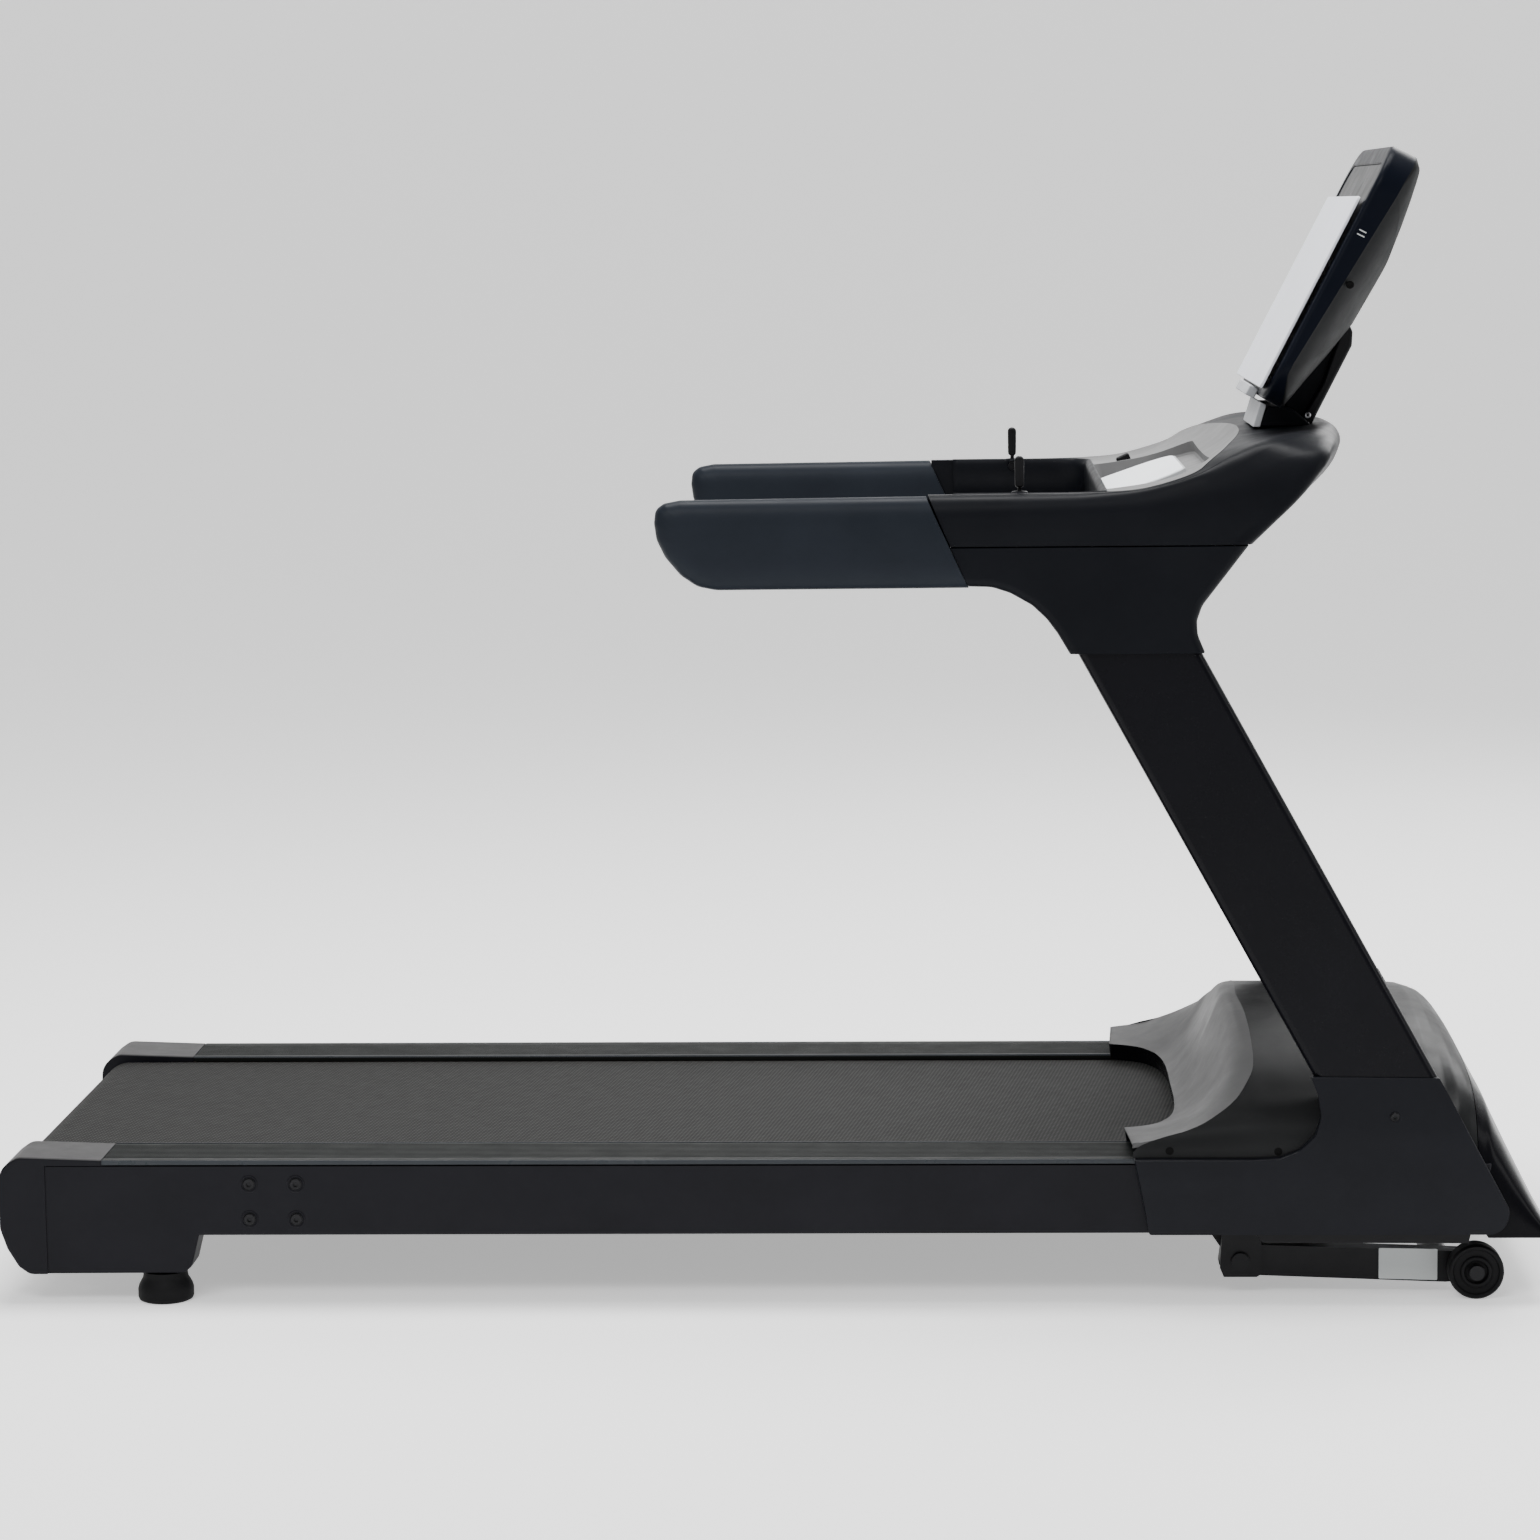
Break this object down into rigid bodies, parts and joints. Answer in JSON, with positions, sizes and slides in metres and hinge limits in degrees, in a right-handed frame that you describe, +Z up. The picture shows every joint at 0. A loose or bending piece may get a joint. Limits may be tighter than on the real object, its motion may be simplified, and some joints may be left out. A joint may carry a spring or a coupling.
{
  "type": "treadmill",
  "caption": "Motorised treadmill with belted deck, incline lift frame, slanted uprights, armrest handrails, dashboard and tilted console.",
  "frame": {"origin": "floor level under the centre of the treadmill's bounding box", "axes": "+X along the deck towards the console end, +Y to the runner's left, +Z up"},
  "size_m": [2.062, 0.836, 1.5152],
  "materials": {
    "frame_black": "satin black powder coat",
    "steel": "machined steel",
    "galvanised": "zinc-plated sheet",
    "deck_wood": "phenolic-faced fibreboard",
    "rubber_black": "matte rubber",
    "rail_trim": "dark anodised, ribbed",
    "cap_grey": "textured grey and black plastic",
    "belt": "woven-backed belt, diagonal texture",
    "roller": "turned steel",
    "motor_case": "black enamel",
    "controller": "finned heat sink",
    "hood_grey": "satin grey plastic",
    "hood_black": "semi-gloss dark plastic",
    "cover_black": "satin black plastic",
    "upright_black": "satin black enamel",
    "cowl_black": "satin black plastic",
    "dash_grey": "satin grey plastic",
    "pad_white": "white membrane",
    "grip": "satin moulded grip",
    "light_grey": "light grey plastic",
    "bezel": "glossy blue-black",
    "screen": "dark glass",
    "back_shell": "satin dark grey plastic",
    "plate": "satin light grey plate",
    "bolt_black": "black oxide",
    "wheel_rubber": "matte rubber tread",
    "control_black": "black plastic"
  },
  "bodies": {
    "frame": {"frame_rail_left": "frame_black", "frame_rail_right": "frame_black", "cross_members": "frame_black", "motor_tray": "galvanised", "deck_board": "deck_wood", "deck_cushions": "rubber_black", "foot_rail_left": "rail_trim", "foot_rail_right": "rail_trim", "end_cap_left": "cap_grey", "end_cap_right": "cap_grey", "running_belt": "belt", "roller_axles": "steel", "belt_adjusting_bolts": "steel", "drive_motor": "motor_case", "drive_belt": "rubber_black", "motor_controller": "controller", "hood_scoop": "hood_grey", "hood_top": "hood_black", "hood_nose": "hood_black", "side_cover_left": "cover_black", "side_cover_right": "cover_black", "cover_screws": "bolt_black", "rail_bolts": "bolt_black", "upright_left": "upright_black", "upright_right": "upright_black", "cowl_lower_left": "cowl_black", "cowl_lower_right": "cowl_black", "cowl_upper_left": "cowl_black", "cowl_upper_right": "cowl_black", "crossbar_cover": "cowl_black", "dashboard": "dash_grey", "keypad_plate": "pad_white", "handrail_left": "grip", "handrail_right": "grip", "console_neck": "light_grey", "mast_arm": "bolt_black", "console_back": "back_shell", "console_bezel": "bezel", "display_glass": "screen", "tablet_plate": "plate", "tablet_ledge": "light_grey", "lift_brackets": "frame_black", "actuator_body": "motor_case", "power_inlet": "control_black"},
    "lift": {"lift_arm_left": "frame_black", "lift_arm_right": "frame_black", "lift_cross_tube": "frame_black", "wheel_bolts": "steel"},
    "wheel_left": {"wheel_left": "wheel_rubber"},
    "wheel_right": {"wheel_right": "wheel_rubber"},
    "foot_left": {"foot_left": "rubber_black"},
    "foot_right": {"foot_right": "rubber_black"},
    "rear_roller": {"rear_roller": "roller"},
    "front_roller": {"front_roller": "roller"},
    "motor_rotor": {"motor_rotor": "steel"},
    "actuator_rod": {"actuator_rod": "steel"},
    "speed_lever": {"speed_lever": "control_black"},
    "incline_lever": {"incline_lever": "control_black"},
    "safety_key": {"safety_key": "control_black"},
    "power_switch": {"power_switch": "control_black"}
  },
  "joints": [
    {"name": "incline_lift", "type": "hinge", "parent": "frame", "child": "lift", "pos_m": [0.628, 0, 0.046], "axis": [0, 1, 0], "range_deg": [0, 40]},
    {"name": "wheel_left_spin", "type": "hinge", "parent": "lift", "child": "wheel_left", "pos_m": [0.939, 0.363, 0.037], "axis": [0, 1, 0], "continuous": true},
    {"name": "wheel_right_spin", "type": "hinge", "parent": "lift", "child": "wheel_right", "pos_m": [0.939, -0.363, 0.037], "axis": [0, 1, 0], "continuous": true},
    {"name": "foot_left_level", "type": "slide", "parent": "frame", "child": "foot_left", "axis": [0, 0, -1], "range_m": [0, 0.015]},
    {"name": "foot_right_level", "type": "slide", "parent": "frame", "child": "foot_right", "axis": [0, 0, -1], "range_m": [0, 0.015]},
    {"name": "front_roller_spin", "type": "hinge", "parent": "frame", "child": "front_roller", "pos_m": [0.7, 0, 0.152], "axis": [0, 1, 0], "continuous": true},
    {"name": "rear_roller_spin", "type": "hinge", "parent": "frame", "child": "rear_roller", "pos_m": [-0.99, 0, 0.152], "axis": [0, 1, 0], "continuous": true},
    {"name": "motor_spin", "type": "hinge", "parent": "frame", "child": "motor_rotor", "pos_m": [0.84, 0, 0.235], "axis": [0, 1, 0], "continuous": true},
    {"name": "actuator_pull", "type": "slide", "parent": "frame", "child": "actuator_rod", "axis": [0.9511, 0, 0.309], "range_m": [0, 0.042]},
    {"name": "speed_lever_tilt", "type": "hinge", "parent": "frame", "child": "speed_lever", "pos_m": [0.337, -0.362, 1.068], "axis": [0, 1, 0], "range_deg": [-12, 12], "stiffness_Nm_per_rad": 0.5},
    {"name": "incline_lever_tilt", "type": "hinge", "parent": "frame", "child": "incline_lever", "pos_m": [0.337, 0.362, 1.068], "axis": [0, 1, 0], "range_deg": [-12, 12], "stiffness_Nm_per_rad": 0.5},
    {"name": "safety_key_pull", "type": "slide", "parent": "frame", "child": "safety_key", "axis": [-0.4286, 0, 0.9035], "range_m": [0, 0.03]},
    {"name": "power_switch_rock", "type": "hinge", "parent": "frame", "child": "power_switch", "pos_m": [0.978, 0.275, 0.12], "axis": [0, 1, 0], "range_deg": [0, 10]}
  ],
  "couplings": [
    {"joint": "rear_roller_spin", "follows": "front_roller_spin", "ratio": 1},
    {"joint": "motor_spin", "follows": "front_roller_spin", "ratio": 2.1818},
    {"joint": "actuator_pull", "follows": "incline_lift", "m_per_rad": 0.05879}
  ]
}
